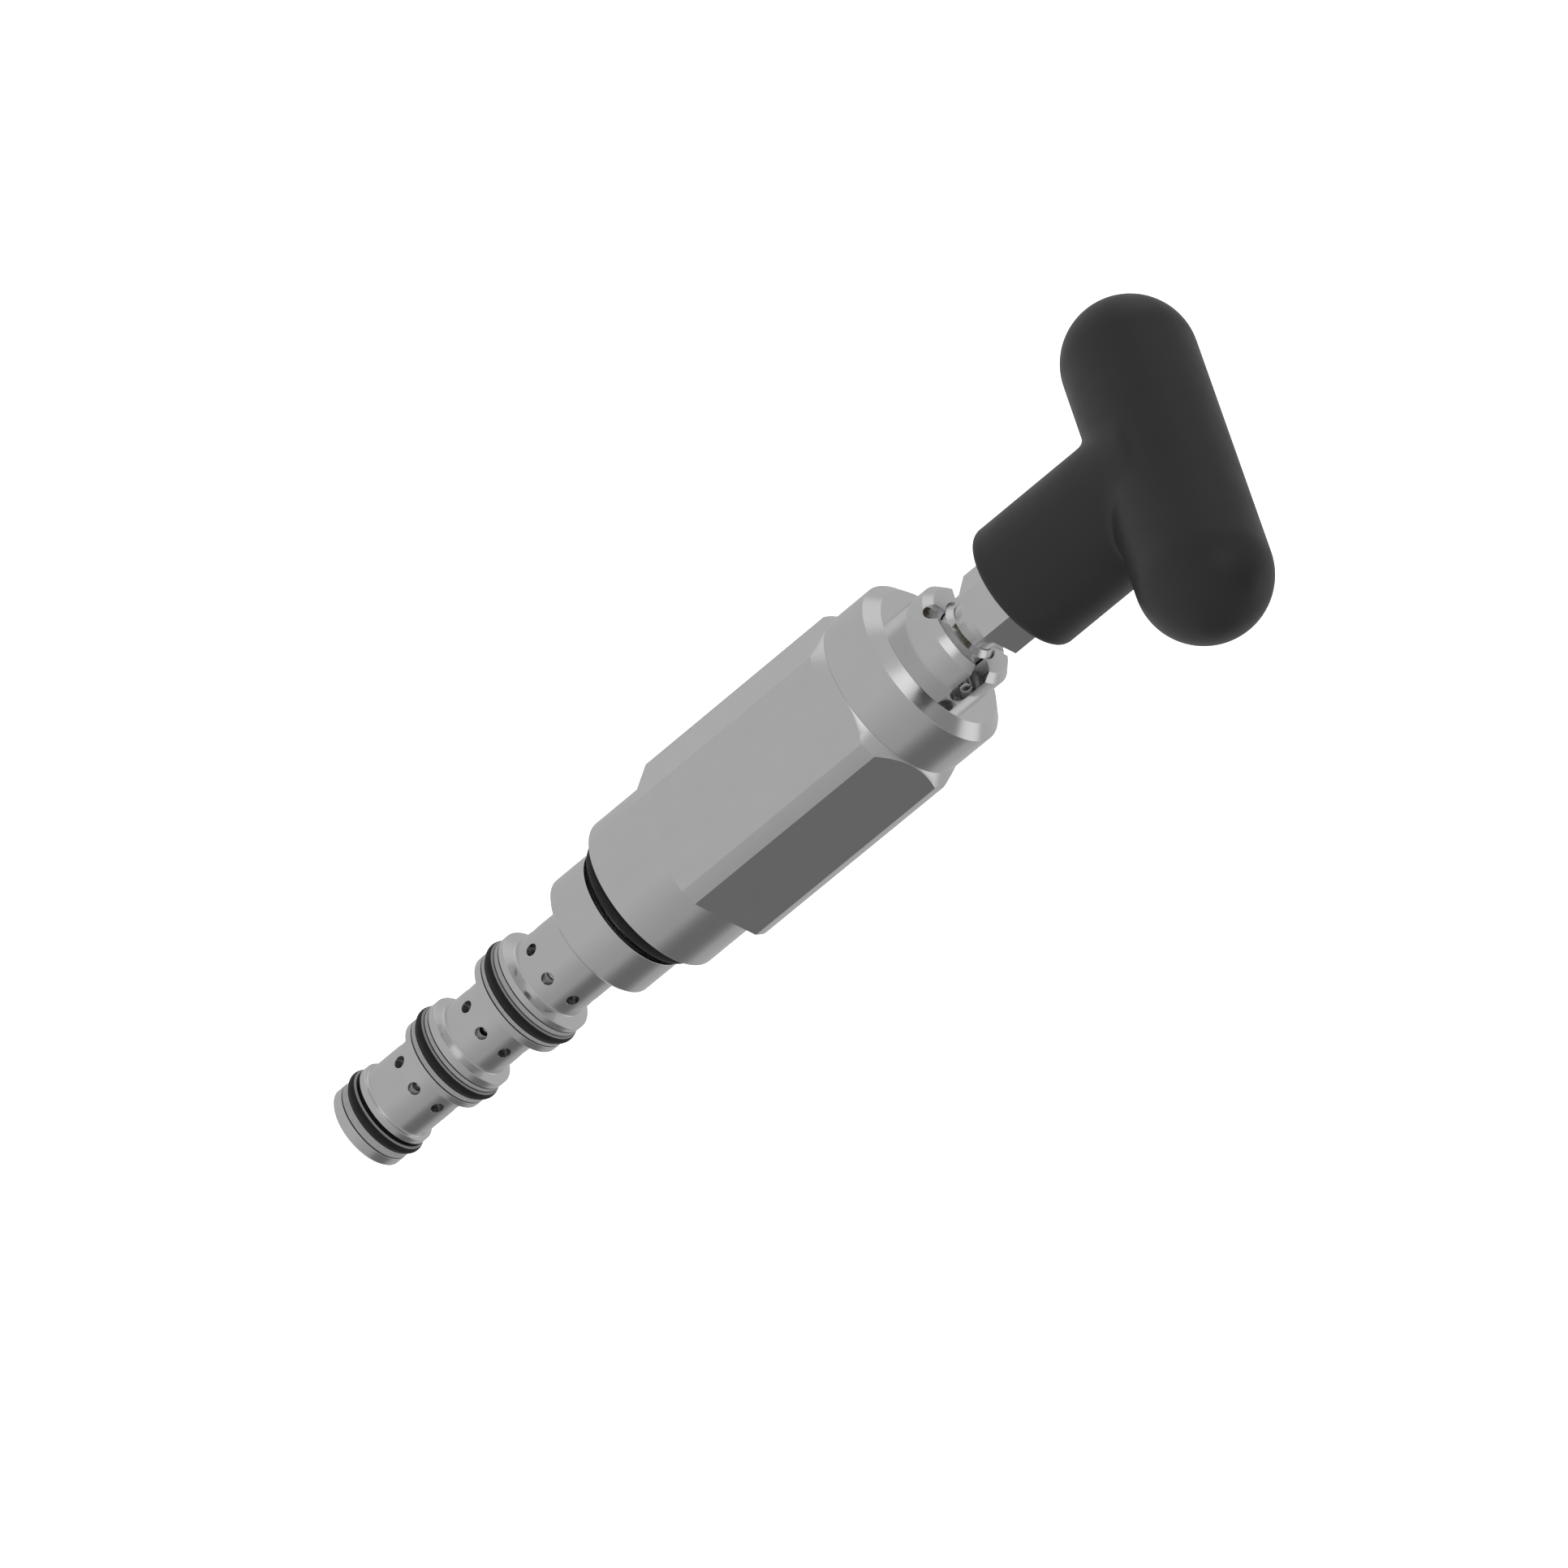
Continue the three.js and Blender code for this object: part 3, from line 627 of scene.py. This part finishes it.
def hex_body():
    thread_start = low_high("hex_body")[0]
    lock_low, lock_high = low_high("sleeve_lock_ring")
    across_flats = (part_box("hex_body")[1].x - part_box("hex_body")[0].x) / MM
    outline = [
        (SLEEVE_SEAT - 0.2, thread_start, 0.1),
        (THREAD_RADIUS - 0.55, thread_start, 0.08),
        (THREAD_RADIUS, thread_start + 0.5, 0.12),
        (THREAD_RADIUS, RELIEF_START, EDGE),
        (RELIEF_RADIUS, RELIEF_START, 0.3),
        (RELIEF_RADIUS, FACE_GLAND_DEPTH, 0.2),
        (COLLAR_RADIUS - FACE_RING_WIDTH, FACE_GLAND_DEPTH, 0),
        (COLLAR_RADIUS - FACE_RING_WIDTH, 0, 0),
        (COLLAR_RADIUS, 0, 0.1),
        (COLLAR_RADIUS, HEX_START, 0.12),
        (HEX_CORNER, HEX_START, 0.08),
        (HEX_CORNER, HEX_CHAMFER, 0.15),
        (HEX_TOP_RADIUS, HEX_TOP, 0.1),
        (CAP_BORE, HEX_TOP, 0.2),
        (CAP_BORE, CAP_BORE_FLOOR, 0.2),
        (CHAMBER, CAP_BORE_FLOOR, 0.2),
        (CHAMBER, CHAMBER_FLOOR, 0.4),
        (THROAT, CHAMBER_FLOOR, 0.1),
        (THROAT, SLEEVE_STOP, 0.1),
        (SLEEVE_SEAT, SLEEVE_STOP, 0.1),
        (SLEEVE_SEAT, lock_high + BODY_LOCK_PLAY, 0.05),
        (BODY_LOCK_GROOVE, lock_high + BODY_LOCK_PLAY, 0.1),
        (BODY_LOCK_GROOVE, lock_low - BODY_LOCK_PLAY, 0.1),
        (SLEEVE_SEAT, lock_low - BODY_LOCK_PLAY, 0.05),
        (SLEEVE_SEAT, thread_start + 0.6, 0.1),
        (SLEEVE_SEAT - 0.2, thread_start + 0.4, 0.1),
    ]
    body = turned("hex_body_fine", outline, FINE)
    corner = across_flats / math.sqrt(3)
    stock = milled_hexagon(HEX_START, HEX_TOP + 1, corner, math.pi / 6)
    combine(body, [stock])
    break_edges(body, 0.1, angle=20)
    finish_piece(body, "hex_body", shading=24)


CAP_RADIUS, CAP_CHAMFER, CAP_TOP, CAP_TOP_RADIUS = 12.665, 52.96, 54.55, 10.75
TURRET_RADIUS, TURRET_CHAMFER, TURRET_TOP_RADIUS = 7.95, 59.44, 6.95
STEM_BORE, GLAND, GLAND_TOP = 4.6, 6.3, 51.2
SLOT_RADIUS, SLOT_BOTTOM = 1.325, 54.65
NOTCH_RADIUS, NOTCH_CENTRE = 1.25, 60.5


def round_bottom_cutter(radius, centre, top, angle):
    """A cutter through the turret, round below its centre and straight above, at an angle about Z."""
    arc = [math.pi + math.pi * step / 24 for step in range(25)]
    section = [(radius * math.cos(a), centre + radius * math.sin(a)) for a in arc]
    section += [(radius, top), (-radius, top)]
    cutter = prism("slot_cutter", section, -1.5 * TURRET_RADIUS, 1.5 * TURRET_RADIUS)
    upright = Matrix.Rotation(angle, 4, "Z") @ Matrix.Rotation(math.pi / 2, 4, "X")
    return moved(cutter, upright)


def detent_cap():
    bottom, top = low_high("detent_cap")
    ring_low, ring_high = low_high("cap_o_ring")
    clip_low, clip_high = low_high("bushing_retaining_ring")
    spigot, ring_floor, ring_play = 9.7, 7.9, 0.3
    clip_groove, clip_play = 6.9, 0.15
    seat = HEX_TOP + CAP_SEAT_CLEARANCE
    outline = [
        (GLAND, bottom, 0.2),
        (spigot, bottom, 0.3),
        (spigot, ring_low - ring_play, 0.1),
        (ring_floor, ring_low - ring_play, 0.15),
        (ring_floor, ring_high + ring_play, 0.15),
        (spigot, ring_high + ring_play, 0.1),
        (spigot, seat, 0.05),
        (CAP_RADIUS, seat, 0.1),
        (CAP_RADIUS, CAP_CHAMFER, 0.15),
        (CAP_TOP_RADIUS, CAP_TOP, 0.15),
        (TURRET_RADIUS, CAP_TOP, 0),
        (TURRET_RADIUS, TURRET_CHAMFER, 0.1),
        (TURRET_TOP_RADIUS, top, 0.1),
        (STEM_BORE, top, EDGE),
        (STEM_BORE, GLAND_TOP, 0.1),
        (GLAND, GLAND_TOP, 0.1),
        (GLAND, clip_high + clip_play, 0.05),
        (clip_groove, clip_high + clip_play, 0.1),
        (clip_groove, clip_low - clip_play, 0.1),
        (GLAND, clip_low - clip_play, 0.05),
    ]
    cap = turned("detent_cap_fine", outline, FINE)
    cutters = [
        round_bottom_cutter(SLOT_RADIUS, SLOT_BOTTOM + SLOT_RADIUS, top + 2, math.pi / 2),
        round_bottom_cutter(NOTCH_RADIUS, NOTCH_CENTRE, top + 2, 0),
    ]
    combine(cap, cutters)
    break_edges(cap, 0.08, angle=30)
    finish_piece(cap, "detent_cap", finish="milled_plate")


# ---- Small rings and inner pieces of the cartridge ----


def round_rings():
    """The shoulder's, the cap's and the stem's O-rings, and the wire ring that locks the sleeve."""
    cords = {"shoulder_o_ring": 2.21, "sleeve_lock_ring": 1.0, "cap_o_ring": CORD, "stem_o_ring": 1.74}
    for node, cord in cords.items():
        low, high = low_high(node)
        mean = outer_radius(node) - cord / 2
        finish_piece(ring_of_cord(f"{node}_fine", mean, cord, (low + high) / 2), node)


def inner_rings():
    """The turned rings round the stem and in the handle."""
    flat_ring("stem_backup_ring", 4.5)
    flat_ring("guide_bushing", 4.52, rounding=0.3)
    flat_ring("upper_spring_seat", 4.75, rounding=0.3)
    flat_ring("lower_spring_seat", 3.15, rounding=0.3)
    flat_ring("stop_sleeve", 3.15, rounding=0.3)
    flat_ring("handle_insert", 3.5, rounding=0.4)


def clips():
    """Retaining rings with a gap."""
    for node, inner, opening in (("bushing_retaining_ring", 5.0, 0.7), ("seat_clip", 2.45, 0.9)):
        low, high = low_high(node)
        half_y = (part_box(node)[1].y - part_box(node)[0].y) / 2 / MM
        outline = [(inner, low, 0.1), (half_y, low, 0.1), (half_y, high, 0.1), (inner, high, 0.1)]
        finish_piece(turned(f"{node}_fine", outline, SMALL, opening), node)


def return_spring():
    """A compression spring whose end turns lie closer than the middle ones."""
    low, high = low_high("return_spring")
    wire, turns, end_pitch_share = 1.4, 8, 0.48
    mean = outer_radius("return_spring") - wire / 2
    travel = high - low - wire
    steps_per_turn, section = 64, 20
    vertices, faces = [], []
    total = turns * steps_per_turn
    for step in range(total + 1):
        share = step / total
        angle = 2 * math.pi * turns * share
        risen = share - (1 - end_pitch_share) / (2 * math.pi) * math.sin(2 * math.pi * share)
        z = low + wire / 2 + travel * risen
        outward = Vector((math.cos(angle), math.sin(angle), 0))
        for side in range(section):
            around = 2 * math.pi * side / section
            point = outward * (mean + wire / 2 * math.cos(around))
            vertices.append((point.x, point.y, z + wire / 2 * math.sin(around)))
    for step in range(total):
        for side in range(section):
            following = (side + 1) % section
            a, b = step * section, (step + 1) * section
            faces.append([a + side, a + following, b + following, b + side])
    faces.append(list(range(section)))
    faces.append(list(range(total * section, (total + 1) * section)))
    finish_piece(new_piece("return_spring_fine", vertices, faces), "return_spring", shading=40)


# ---- The sliding pieces ----

ROLL_PIN_HOLE = 1.1
COUPLING_HOLE = 0.9


def cross_cutter(radius, z, angle, length=30):
    """A round cutter through the axis at a height, at an angle about Z from +X."""
    half = length / 2
    outline = [(0, -half, 0), (radius, -half, 0), (radius, half, 0), (0, half, 0)]
    cutter = turned("cross_cutter", outline, 64)
    lying = Matrix.Rotation(angle, 4, "Z") @ Matrix.Rotation(math.pi / 2, 4, "Y")
    return moved(cutter, Matrix.Translation((0, 0, z * MM)) @ lying)


def middle_z(node):
    """The height of the middle of a CAD node, in mm."""
    low, high = low_high(node)
    return (low + high) / 2


def spool():
    nose, top = low_high("spool")
    land = outer_radius("spool")
    core, bore, socket = 3.3, 1.4, 1.95
    bore_end, socket_floor = -14.0, -12.3
    nose_land_end, middle_land_start, middle_land_end, top_land_start = -45.0, -19.9, -18.2, -12.5
    drain_radius, drain_z = 0.9, -15.4
    outline = [
        (0, bore_end, 0),
        (bore, bore_end, 0),
        (bore, nose, 0.2),
        (land, nose, 0.1),
        (land, nose_land_end, 0.04),
        (core, nose_land_end, 0.4),
        (core, middle_land_start, 0.4),
        (land, middle_land_start, 0.04),
        (land, middle_land_end, 0.04),
        (core, middle_land_end, 0.4),
        (core, top_land_start, 0.4),
        (land, top_land_start, 0.04),
        (land, top, 0.2),
        (socket, top, 0.2),
        (socket, socket_floor, 0),
        (0, socket_floor, 0),
    ]
    body = turned("spool_fine", outline, SMALL)
    drain = cross_cutter(drain_radius, drain_z, 0)
    cutters = [drain, cross_cutter(COUPLING_HOLE, middle_z("coupling_pin"), math.pi / 2)]
    finish_piece(combine(body, cutters), "spool")


def stem():
    bottom, top = low_high("stem")
    clip_low, clip_high = low_high("seat_clip")
    guide = outer_radius("stem")
    tail, rod, neck, stud, clip_groove = 1.8, 2.9, 3.62, 3.175, 2.3
    tail_end, shoulder, cone_start, neck_end = -7.0, 30.1, 60.2, 64.0
    clip_play, stud_chamfer = 0.1, 0.5
    outline = [
        (0, bottom, 0),
        (tail, bottom, 0.3),
        (tail, tail_end, 0.2),
        (rod, tail_end, 0.2),
        (rod, clip_low - clip_play, 0.05),
        (clip_groove, clip_low - clip_play, 0.1),
        (clip_groove, clip_high + clip_play, 0.1),
        (rod, clip_high + clip_play, 0.05),
        (rod, shoulder, 0.3),
        (guide, shoulder, 0.3),
        (guide, cone_start, 0.1),
        (neck, cone_start + guide - neck, 0.1),
        (neck, neck_end, 0.1),
        (stud, neck_end, 0.1),
        (stud, top - stud_chamfer, 0.1),
        (stud - stud_chamfer, top, 0.1),
        (0, top, 0),
    ]
    body = turned("stem_fine", outline, MEDIUM)
    cutters = [
        cross_cutter(ROLL_PIN_HOLE, middle_z("roll_pin"), 0),
        cross_cutter(COUPLING_HOLE, middle_z("coupling_pin"), math.pi / 2),
    ]
    finish_piece(combine(body, cutters), "stem")


def coupling_pin():
    low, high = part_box("coupling_pin")
    half, radius = (high.y - low.y) / 2 / MM, (high.z - low.z) / 2 / MM
    outline = [(0, -half, 0), (radius, -half, 0.15), (radius, half, 0.15), (0, half, 0)]
    pin = turned("coupling_pin_fine", outline, 48)
    place = Matrix.Translation((0, 0, middle_z("coupling_pin") * MM))
    finish_piece(moved(pin, place @ Matrix.Rotation(math.pi / 2, 4, "X")), "coupling_pin")


def roll_pin():
    """A slit tube along X with rounded ends, its slit on top and a little to one side."""
    low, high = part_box("roll_pin")
    half, outer = (high.x - low.x) / 2 / MM, (high.z - low.z) / 2 / MM
    inner, opening, slit_tilt = 0.42, 0.5, math.radians(12)
    outline = [(inner, -half, 0.05), (outer, -half, 0.22), (outer, half, 0.22), (inner, half, 0.05)]
    tube = turned("roll_pin_fine", outline, 72, opening)
    lying = Matrix.Rotation(math.pi / 2, 4, "Y") @ Matrix.Rotation(math.pi - slit_tilt, 4, "Z")
    place = Matrix.Translation((0, 0, middle_z("roll_pin") * MM))
    finish_piece(moved(tube, place @ lying), "roll_pin")


def handle_turn():
    """How far the handle bar has turned past +X, from the CAD bar's farthest vertex."""
    vertices = frame["nodes"]["t_handle"].data.vertices
    tip = max(vertices, key=lambda vertex: vertex.co.x).co
    return math.atan2(tip.y, tip.x)


def jam_nut():
    low, high = low_high("jam_nut")
    bore, corner, blank = 3.3, 6.31, 7.0
    outline = [(bore, low, 0.3), (blank, low, 0), (blank, high, 0), (bore, high, 0.3)]
    nut = turned("jam_nut_fine", outline, MEDIUM)
    combine(nut, [milled_hexagon(low - 1, high + 1, corner, math.pi / 6)])
    break_edges(nut, 0.07, angle=30)
    finish_piece(moved(nut, Matrix.Rotation(handle_turn(), 4, "Z")), "jam_nut")


BAR_HALF, BAR_RADIUS = 18.75, 9.3  # half the straight length of the bar, and its radius
NECK_RADIUS, RIM_ROUNDING = 9.5, 0.8
HANDLE_FILLET = 1.1
HANDLE_VOXEL = 0.42
FITTING_ROUNDS = 8  # steps in which the voxel mesh is drawn onto the surface
INSERT_PLAY, SOCKET_DEPTH_PLAY = 0.12, 0.6


def handle_distance(points, rim, bar_z):
    """Signed distance in mm from points to the handle's surface: bar and neck with a fillet between."""
    x, y, z = points.T
    along = np.clip(x, -BAR_HALF, BAR_HALF)
    bar = np.sqrt((x - along) ** 2 + y**2 + (z - bar_z) ** 2) - BAR_RADIUS
    radial = np.sqrt(x**2 + y**2) - (NECK_RADIUS - RIM_ROUNDING)
    below = np.maximum(rim + RIM_ROUNDING - z, z - bar_z)
    outside = np.sqrt(np.maximum(radial, 0) ** 2 + np.maximum(below, 0) ** 2)
    neck = outside + np.minimum(np.maximum(radial, below), 0) - RIM_ROUNDING
    reach = np.maximum(HANDLE_FILLET - np.abs(bar - neck), 0) / HANDLE_FILLET
    return np.minimum(bar, neck) - reach**2 * HANDLE_FILLET / 4


def handle_blank(name, rim, bar_z):
    """The handle's bar with its round ends, joined to its neck."""
    arc_steps = 24
    outline = [(0, -BAR_HALF - BAR_RADIUS, 0)]
    for step in range(1, arc_steps):
        angle = math.pi / 2 * step / arc_steps
        outline.append((BAR_RADIUS * math.sin(angle), -BAR_HALF - BAR_RADIUS * math.cos(angle), 0))
    outline.append((BAR_RADIUS, -BAR_HALF, 0))
    outline += [(radius, -z, 0) for radius, z, _ in reversed(outline)]
    bar = turned(name, outline, SMALL)
    moved(bar, Matrix.Translation((0, 0, bar_z * MM)) @ Matrix.Rotation(math.pi / 2, 4, "Y"))
    neck = [(0, rim, 0), (NECK_RADIUS, rim, RIM_ROUNDING), (NECK_RADIUS, bar_z, 0), (0, bar_z, 0)]
    return combine(bar, [turned("neck", neck, SMALL)], "UNION")


def handle_skin(name, rim, bar_z):
    """The outside of the handle: a voxel mesh drawn onto the blended surface."""
    bar = handle_blank(name, rim, bar_z)
    remesh = bar.modifiers.new("voxels", "REMESH")
    remesh.mode = "VOXEL"
    remesh.voxel_size = HANDLE_VOXEL * MM
    settle(bar)
    mesh = bar.data
    points = np.empty(len(mesh.vertices) * 3)
    mesh.vertices.foreach_get("co", points)
    points = points.reshape(-1, 3) / MM
    probe = 0.01
    for _ in range(FITTING_ROUNDS):
        distance = handle_distance(points, rim, bar_z)
        slope = np.stack(
            [
                handle_distance(points + probe * axis, rim, bar_z)
                - handle_distance(points - probe * axis, rim, bar_z)
                for axis in np.eye(3)
            ],
            axis=1,
        ) / (2 * probe)
        slope /= np.maximum((slope**2).sum(axis=1, keepdims=True), 0.25)
        points -= distance[:, None] * slope
    mesh.vertices.foreach_set("co", (points * MM).ravel())
    mesh.update()
    return bar


def t_handle():
    rim, top = low_high("t_handle")
    skin = handle_skin("t_handle_fine", rim, top - BAR_RADIUS)
    bore = outer_radius("handle_insert") + INSERT_PLAY
    mouth, depth = rim - 2, low_high("handle_insert")[1] + SOCKET_DEPTH_PLAY
    socket = [(0, mouth, 0), (bore, mouth, 0), (bore, depth, 0.4), (0, depth, 0)]
    combine(skin, [turned("socket", socket, 128)])
    finish_piece(moved(skin, Matrix.Rotation(handle_turn(), 4, "Z")), "t_handle", shading=40)


# ---- Camera, floor and light ----

VIEW_ELEVATION = math.radians(25.3)
VIEW_AZIMUTH = math.radians(45)
AXIS_TILT = math.radians(39.47)  # of the valve's axis above the picture's horizontal
CAMERA_DISTANCE = 2.0
LENS, SENSOR = 345, 36


def view_directions():
    """Towards the viewer along the floor, and to the viewer's right."""
    towards = Vector((math.sin(VIEW_AZIMUTH), -math.cos(VIEW_AZIMUTH), 0))
    right = Vector((math.cos(VIEW_AZIMUTH), math.sin(VIEW_AZIMUTH), 0))
    return towards, right


def camera():
    """A long lens, rolled so that the valve lies across the picture."""
    towards, right = view_directions()
    back = towards * math.cos(VIEW_ELEVATION) + Vector((0, 0, math.sin(VIEW_ELEVATION)))
    upright = back.cross(right)
    picture_right = upright * math.cos(AXIS_TILT) + right * math.sin(AXIS_TILT)
    picture_up = upright * math.sin(AXIS_TILT) - right * math.cos(AXIS_TILT)
    data = bpy.data.cameras.new("camera")
    data.lens = LENS
    data.sensor_width = SENSOR
    data.clip_start, data.clip_end = 0.1, 20
    eye = bpy.data.objects.new("camera", data)
    bpy.context.scene.collection.objects.link(eye)
    target = Vector((0, 0, (cad_low.z + cad_high.z) / 2))
    turn = Matrix((picture_right, picture_up, back)).transposed().to_4x4()
    eye.matrix_world = Matrix.Translation(target + back * CAMERA_DISTANCE) @ turn
    bpy.context.scene.camera = eye


def floor():
    """A plain white sweep under the part, lit evenly."""
    half, gap = 3.0, 0.02  # metres
    height = cad_low.z - gap
    corners = [(-half, -half), (half, -half), (half, half), (-half, half)]
    mesh = bpy.data.meshes.new("floor")
    mesh.from_pydata([(x, y, height) for x, y in corners], [], [(0, 1, 2, 3)])
    sweep = bpy.data.objects.new("floor", mesh)
    bpy.context.scene.collection.objects.link(sweep)
    material = bpy.data.materials.new("white_sweep")
    material.use_nodes = True
    surface = material.node_tree.nodes["Principled BSDF"]
    surface.inputs["Base Color"].default_value = (0.9, 0.9, 0.9, 1)
    surface.inputs["Roughness"].default_value = 0.9
    surface.inputs["Emission Color"].default_value = (1, 1, 1, 1)
    surface.inputs["Emission Strength"].default_value = 1.0
    mesh.materials.append(material)
    sweep.visible_glossy = False


def softbox(name, direction, distance, width, height, strength):
    """A square area light that looks at the part."""
    data = bpy.data.lights.new(name, "AREA")
    data.shape = "RECTANGLE"
    data.size, data.size_y = width, height
    data.energy = strength * width * height * math.pi
    lamp = bpy.data.objects.new(name, data)
    bpy.context.scene.collection.objects.link(lamp)
    direction = direction.normalized()
    lamp.location = direction * distance
    lamp.rotation_mode = "QUATERNION"
    lamp.rotation_quaternion = direction.to_track_quat("Z", "Y")
    lamp.visible_camera = False
    lamp.visible_glossy = False


def lights():
    """One soft lamp above, a little to the front and to the right."""
    towards, right = view_directions()
    direction = towards * 0.39 + right * 0.2 + Vector((0, 0, 1)) * 0.89
    softbox("overhead", direction, distance=1.2, width=0.5, height=0.5, strength=0.3)


# Soft patches of the studio as the metal mirrors it: the azimuth from the viewer towards the right and the
# elevation of the middle, the angles at which the patch is full and gone, in degrees, and the light it adds
# or takes.
PATCHES = {
    "front_softbox": (-6, 64, 6, 19, 0.42),
    "right_back_softbox": (125, 28, 6, 19, 0.35),
    "left_back_softbox": (-128, 32, 8, 28, 0.2),
    "ceiling": (0, 90, 8, 24, 0.15),
    "dark_right": (80, -15, 0, 90, -0.125),
    "flag_right": (90, -25, 3, 34, -0.19),
    "flag_high_right": (100, 52, 4, 28, -0.19),
    "gap_front": (40, 50, 4, 22, -0.05),
}
ROOM_LEVEL = 0.47
METAL_BOUNCES = 12  # mirrorings that light makes in slots and grooves


def studio():
    """An even grey room with soft patches of light and shade, which the camera sees as plain white."""
    towards, right = view_directions()
    world = bpy.data.worlds.new("studio")
    world.use_nodes = True
    bpy.context.scene.world = world
    nodes, links = world.node_tree.nodes, world.node_tree.links
    direction = nodes.new("ShaderNodeTexCoord").outputs["Generated"]
    level = None
    for azimuth, elevation, full, gone, amount in PATCHES.values():
        azimuth, elevation = math.radians(azimuth), math.radians(elevation)
        level_part = towards * math.cos(azimuth) + right * math.sin(azimuth)
        middle = level_part * math.cos(elevation) + Vector((0, 0, math.sin(elevation)))
        nearness = nodes.new("ShaderNodeVectorMath")
        nearness.operation = "DOT_PRODUCT"
        nearness.inputs[1].default_value = middle
        links.new(direction, nearness.inputs[0])
        patch = nodes.new("ShaderNodeMapRange")
        patch.interpolation_type = "SMOOTHSTEP"
        patch.inputs["From Min"].default_value = math.cos(math.radians(gone))
        patch.inputs["From Max"].default_value = math.cos(math.radians(full))
        patch.inputs["To Max"].default_value = amount
        links.new(nearness.outputs["Value"], patch.inputs["Value"])
        total = nodes.new("ShaderNodeMath")
        total.operation = "ADD"
        total.inputs[0].default_value = ROOM_LEVEL
        if level is not None:
            links.new(level, total.inputs[0])
        links.new(patch.outputs["Result"], total.inputs[1])
        level = total.outputs[0]
    white = nodes.new("ShaderNodeMix")
    white.data_type = "RGBA"
    links.new(nodes.new("ShaderNodeLightPath").outputs["Is Camera Ray"], white.inputs["Factor"])
    links.new(level, white.inputs[6])
    white.inputs[7].default_value = (1, 1, 1, 1)
    links.new(white.outputs[2], nodes["Background"].inputs["Color"])
    bpy.context.scene.cycles.glossy_bounces = METAL_BOUNCES
    bpy.context.scene.view_settings.view_transform = "Standard"


# ---- Assembly ----

sleeve()
land_rings()
hex_body()
detent_cap()
round_rings()
inner_rings()
clips()
return_spring()
spool()
stem()
coupling_pin()
roll_pin()
jam_nut()
t_handle()
camera()
floor()
lights()
studio()
